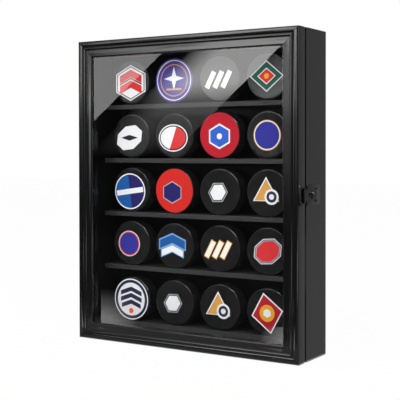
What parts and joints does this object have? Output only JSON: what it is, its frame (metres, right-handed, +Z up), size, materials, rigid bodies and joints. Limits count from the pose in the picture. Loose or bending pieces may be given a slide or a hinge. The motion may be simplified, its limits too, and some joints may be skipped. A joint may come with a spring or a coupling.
{
  "type": "hockey puck display case",
  "caption": "Shallow black case with shelves of pucks standing on edge, behind a glazed door with a moulded frame that hinges at one side and latches with a hasp at the other.",
  "frame": {"origin": "on the underside of the bottom board, at mid width and mid depth of the whole case", "axes": "the door faces -Y, +X is to the right seen from the front, +Z is up"},
  "size_m": [0.4344, 0.099, 0.511],
  "materials": {
    "black_painted_wood": "satin black paint",
    "black_rubber": "matt moulded rubber",
    "clear_glazing": "clear and glossy",
    "black_metal": "satin black"
  },
  "bodies": {
    "case": {"side_panel_left": "black_painted_wood", "side_panel_right": "black_painted_wood", "top_panel": "black_painted_wood", "bottom_panel": "black_painted_wood", "back_panel": "black_painted_wood", "shelf_1": "black_painted_wood", "shelf_2": "black_painted_wood", "shelf_3": "black_painted_wood", "shelf_4": "black_painted_wood", "shelf_5": "black_painted_wood", "puck_r1_c1": "black_rubber", "puck_r1_c2": "black_rubber", "puck_r1_c3": "black_rubber", "puck_r1_c4": "black_rubber", "puck_r2_c1": "black_rubber", "puck_r2_c2": "black_rubber", "puck_r2_c3": "black_rubber", "puck_r2_c4": "black_rubber", "puck_r3_c1": "black_rubber", "puck_r3_c2": "black_rubber", "puck_r3_c3": "black_rubber", "puck_r3_c4": "black_rubber", "puck_r4_c1": "black_rubber", "puck_r4_c2": "black_rubber", "puck_r4_c3": "black_rubber", "puck_r4_c4": "black_rubber", "puck_r5_c1": "black_rubber", "puck_r5_c2": "black_rubber", "puck_r5_c3": "black_rubber", "puck_r5_c4": "black_rubber", "hinge_lower_case_leaf": "black_metal", "hinge_upper_case_leaf": "black_metal", "hinge_lower_pin": "black_metal", "hinge_upper_pin": "black_metal", "latch_keeper": "black_metal", "latch_keeper_screw_lower": "black_metal", "latch_keeper_screw_upper": "black_metal"},
    "door": {"door_stile_left": "black_painted_wood", "door_stile_right": "black_painted_wood", "door_rail_top": "black_painted_wood", "door_rail_bottom": "black_painted_wood", "glazing_stop_bottom": "black_painted_wood", "glazing_stop_right": "black_painted_wood", "glazing_stop_top": "black_painted_wood", "glazing_stop_left": "black_painted_wood", "glazing_panel": "clear_glazing", "hinge_lower_door_leaf": "black_metal", "hinge_upper_door_leaf": "black_metal", "latch_plate": "black_metal", "latch_plate_screw_lower": "black_metal", "latch_plate_screw_upper": "black_metal", "latch_pin": "black_metal"},
    "latch_hasp": {"latch_hasp": "black_metal"}
  },
  "joints": [
    {"name": "door_hinge", "type": "hinge", "parent": "case", "child": "door", "pos_m": [-0.213, -0.0246, 0.2555], "axis": [0, 0, -1], "range_deg": [0, 170]},
    {"name": "hasp_hinge", "type": "hinge", "parent": "door", "child": "latch_hasp", "pos_m": [0.2138, -0.0365, 0.2555], "axis": [0, 0, -1], "range_deg": [0, 170]}
  ]
}
